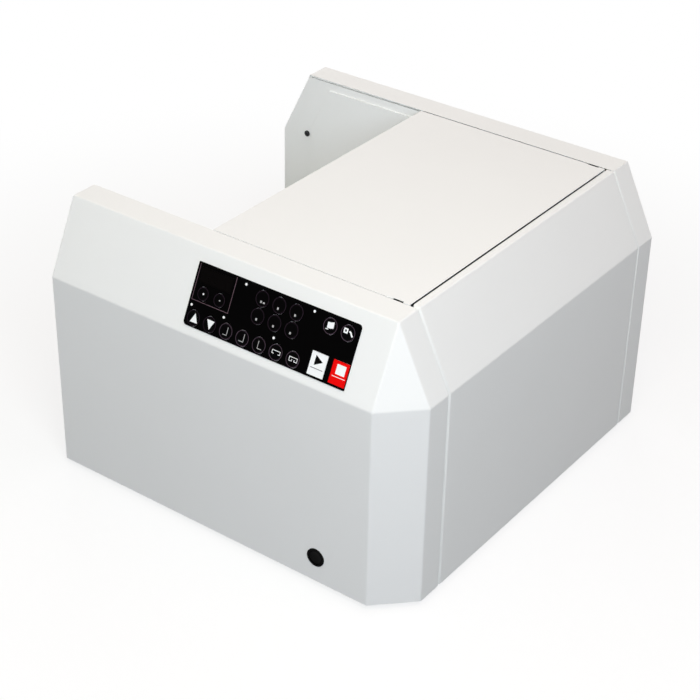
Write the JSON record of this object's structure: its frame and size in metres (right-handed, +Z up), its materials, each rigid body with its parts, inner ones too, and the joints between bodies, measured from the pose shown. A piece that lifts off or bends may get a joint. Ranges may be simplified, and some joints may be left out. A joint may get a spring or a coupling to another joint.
{
  "type": "booklet maker",
  "caption": "Tabletop motorised booklet maker: bevelled sheet-metal case with an open paper bay, hinged lid and sloping keypad; staples, folds and delivers sets of sheets.",
  "frame": {"origin": "on the desk under the middle of the body", "axes": "+X along the paper path from the open infeed end to the closed end, -Y towards the keypad side, +Z up"},
  "size_m": [0.482, 0.501, 0.314],
  "materials": {
    "cover_paint": "satin powder coat",
    "inner_paint": "satin powder coat",
    "zinc": "zinc plated",
    "steel": "ground",
    "rubber": "matte",
    "fascia": "satin",
    "key_black": "satin",
    "key_white": "satin",
    "key_red": "satin",
    "display": "gloss",
    "board": "solder mask",
    "black_plastic": "fine texture",
    "motor_black": "semi-gloss",
    "nylon": "moulded",
    "head_grey": "moulded"
  },
  "bodies": {
    "machine": {"front_cover": "cover_paint", "rear_cover": "cover_paint", "end_cover": "cover_paint", "hinge_pins": "steel", "base_plate": "zinc", "feet": "rubber", "side_frames": "inner_paint", "bay_liners": "inner_paint", "infeed_panel": "inner_paint", "feed_table": "zinc", "inner_table": "zinc", "delivery_chute": "zinc", "cover_screws": "motor_black", "panel_fascia": "fascia", "display_window": "display", "control_board": "board", "power_switch": "black_plastic", "power_inlet": "black_plastic", "power_supply": "zinc", "stepper_motors": "motor_black", "stop_rails": "steel", "stapler_beam": "zinc", "stapler_heads": "head_grey", "clincher_bar": "steel", "knife_motor": "motor_black", "main_motor": "motor_black"},
    "lid": {"lid": "cover_paint"},
    "front_guide": {"front_guide": "zinc"},
    "rear_guide": {"rear_guide": "zinc"},
    "guide_pinion": {"guide_pinion": "nylon"},
    "paper_stop": {"paper_stop": "head_grey"},
    "stop_screw": {"stop_screw": "steel"},
    "front_magazine": {"front_magazine": "steel"},
    "rear_magazine": {"rear_magazine": "steel"},
    "fold_knife": {"fold_knife": "steel", "knife_carrier": "zinc"},
    "cam_shaft": {"cam_shaft": "steel"},
    "left_fold_roller": {"left_fold_roller": "rubber"},
    "right_fold_roller": {"right_fold_roller": "rubber"},
    "motor_gear": {"motor_gear": "nylon"},
    "power_button": {"power_button": "black_plastic"},
    "key_up": {"key_up": "key_black"},
    "key_down": {"key_down": "key_black"},
    "key_mode_1": {"key_mode_1": "key_black"},
    "key_mode_2": {"key_mode_2": "key_black"},
    "key_mode_3": {"key_mode_3": "key_black"},
    "key_mode_4": {"key_mode_4": "key_black"},
    "key_mode_5": {"key_mode_5": "key_black"},
    "key_size_1": {"key_size_1": "key_black"},
    "key_size_2": {"key_size_2": "key_black"},
    "key_size_3": {"key_size_3": "key_black"},
    "key_size_4": {"key_size_4": "key_black"},
    "key_size_5": {"key_size_5": "key_black"},
    "key_size_6": {"key_size_6": "key_black"},
    "key_display_1": {"key_display_1": "key_black"},
    "key_display_2": {"key_display_2": "key_black"},
    "key_option_1": {"key_option_1": "key_black"},
    "key_option_2": {"key_option_2": "key_black"},
    "key_start": {"key_start": "key_white"},
    "key_stop": {"key_stop": "key_red"}
  },
  "joints": [
    {"name": "lid_hinge", "type": "hinge", "parent": "machine", "child": "lid", "pos_m": [0.179, 0, 0.308], "axis": [0, 1, 0], "range_deg": [0, 100]},
    {"name": "front_guide_slide", "type": "slide", "parent": "machine", "child": "front_guide", "axis": [0, 1, 0], "range_m": [0, 0.1]},
    {"name": "rear_guide_slide", "type": "slide", "parent": "machine", "child": "rear_guide", "axis": [0, -1, 0], "range_m": [0, 0.1]},
    {"name": "guide_pinion_spin", "type": "hinge", "parent": "machine", "child": "guide_pinion", "pos_m": [-0.141, 0, 0.115], "axis": [0, 0, -1], "range_deg": [0, 381.97]},
    {"name": "paper_stop_slide", "type": "slide", "parent": "machine", "child": "paper_stop", "axis": [-1, 0, 0], "range_m": [0, 0.111]},
    {"name": "stop_screw_spin", "type": "hinge", "parent": "machine", "child": "stop_screw", "pos_m": [0.15, 0, 0.112], "axis": [1, 0, 0], "range_deg": [0, 4995]},
    {"name": "front_magazine_press", "type": "slide", "parent": "machine", "child": "front_magazine", "axis": [0, 0, -1], "range_m": [0, 0.01], "stiffness_N_per_m": 400, "springref_m": -0.03},
    {"name": "rear_magazine_press", "type": "slide", "parent": "machine", "child": "rear_magazine", "axis": [0, 0, -1], "range_m": [0, 0.01], "stiffness_N_per_m": 400, "springref_m": -0.03},
    {"name": "fold_knife_slide", "type": "slide", "parent": "machine", "child": "fold_knife", "axis": [0, 0, -1], "range_m": [0, 0.026]},
    {"name": "cam_shaft_turn", "type": "hinge", "parent": "machine", "child": "cam_shaft", "pos_m": [-0.018, 0, 0.235], "axis": [0, 1, 0], "range_deg": [0, 180]},
    {"name": "left_roller_spin", "type": "hinge", "parent": "machine", "child": "left_fold_roller", "pos_m": [-0.0342, 0, 0.108], "axis": [0, 1, 0], "continuous": true},
    {"name": "right_roller_spin", "type": "hinge", "parent": "machine", "child": "right_fold_roller", "pos_m": [-0.0018, 0, 0.108], "axis": [0, 1, 0], "continuous": true},
    {"name": "motor_gear_spin", "type": "hinge", "parent": "machine", "child": "motor_gear", "pos_m": [0.04029, -0.195, 0.0837], "axis": [0, 1, 0], "continuous": true},
    {"name": "power_button_press", "type": "slide", "parent": "machine", "child": "power_button", "axis": [0, 1, 0], "range_m": [0, 0.002], "stiffness_N_per_m": 800},
    {"name": "key_up_press", "type": "slide", "parent": "machine", "child": "key_up", "axis": [0, 0.8989, -0.4381], "range_m": [0, 0.0004], "stiffness_N_per_m": 1500},
    {"name": "key_down_press", "type": "slide", "parent": "machine", "child": "key_down", "axis": [0, 0.8989, -0.4381], "range_m": [0, 0.0004], "stiffness_N_per_m": 1500},
    {"name": "key_mode_1_press", "type": "slide", "parent": "machine", "child": "key_mode_1", "axis": [0, 0.8989, -0.4381], "range_m": [0, 0.0004], "stiffness_N_per_m": 1500},
    {"name": "key_mode_2_press", "type": "slide", "parent": "machine", "child": "key_mode_2", "axis": [0, 0.8989, -0.4381], "range_m": [0, 0.0004], "stiffness_N_per_m": 1500},
    {"name": "key_mode_3_press", "type": "slide", "parent": "machine", "child": "key_mode_3", "axis": [0, 0.8989, -0.4381], "range_m": [0, 0.0004], "stiffness_N_per_m": 1500},
    {"name": "key_mode_4_press", "type": "slide", "parent": "machine", "child": "key_mode_4", "axis": [0, 0.8989, -0.4381], "range_m": [0, 0.0004], "stiffness_N_per_m": 1500},
    {"name": "key_mode_5_press", "type": "slide", "parent": "machine", "child": "key_mode_5", "axis": [0, 0.8989, -0.4381], "range_m": [0, 0.0004], "stiffness_N_per_m": 1500},
    {"name": "key_size_1_press", "type": "slide", "parent": "machine", "child": "key_size_1", "axis": [0, 0.8989, -0.4381], "range_m": [0, 0.0004], "stiffness_N_per_m": 1500},
    {"name": "key_size_2_press", "type": "slide", "parent": "machine", "child": "key_size_2", "axis": [0, 0.8989, -0.4381], "range_m": [0, 0.0004], "stiffness_N_per_m": 1500},
    {"name": "key_size_3_press", "type": "slide", "parent": "machine", "child": "key_size_3", "axis": [0, 0.8989, -0.4381], "range_m": [0, 0.0004], "stiffness_N_per_m": 1500},
    {"name": "key_size_4_press", "type": "slide", "parent": "machine", "child": "key_size_4", "axis": [0, 0.8989, -0.4381], "range_m": [0, 0.0004], "stiffness_N_per_m": 1500},
    {"name": "key_size_5_press", "type": "slide", "parent": "machine", "child": "key_size_5", "axis": [0, 0.8989, -0.4381], "range_m": [0, 0.0004], "stiffness_N_per_m": 1500},
    {"name": "key_size_6_press", "type": "slide", "parent": "machine", "child": "key_size_6", "axis": [0, 0.8989, -0.4381], "range_m": [0, 0.0004], "stiffness_N_per_m": 1500},
    {"name": "key_display_1_press", "type": "slide", "parent": "machine", "child": "key_display_1", "axis": [0, 0.8989, -0.4381], "range_m": [0, 0.0004], "stiffness_N_per_m": 1500},
    {"name": "key_display_2_press", "type": "slide", "parent": "machine", "child": "key_display_2", "axis": [0, 0.8989, -0.4381], "range_m": [0, 0.0004], "stiffness_N_per_m": 1500},
    {"name": "key_option_1_press", "type": "slide", "parent": "machine", "child": "key_option_1", "axis": [0, 0.8989, -0.4381], "range_m": [0, 0.0004], "stiffness_N_per_m": 1500},
    {"name": "key_option_2_press", "type": "slide", "parent": "machine", "child": "key_option_2", "axis": [0, 0.8989, -0.4381], "range_m": [0, 0.0004], "stiffness_N_per_m": 1500},
    {"name": "key_start_press", "type": "slide", "parent": "machine", "child": "key_start", "axis": [0, 0.8989, -0.4381], "range_m": [0, 0.0004], "stiffness_N_per_m": 1500},
    {"name": "key_stop_press", "type": "slide", "parent": "machine", "child": "key_stop", "axis": [0, 0.8989, -0.4381], "range_m": [0, 0.0004], "stiffness_N_per_m": 1500}
  ],
  "couplings": [
    {"joint": "rear_guide_slide", "follows": "front_guide_slide", "ratio": 1},
    {"joint": "guide_pinion_spin", "follows": "front_guide_slide", "rad_per_m": 66.667},
    {"joint": "stop_screw_spin", "follows": "paper_stop_slide", "rad_per_m": 785.4},
    {"joint": "cam_shaft_turn", "follows": "fold_knife_slide", "rad_per_m": 120.83},
    {"joint": "left_roller_spin", "follows": "right_roller_spin", "ratio": -1},
    {"joint": "motor_gear_spin", "follows": "right_roller_spin", "ratio": -0.5}
  ]
}
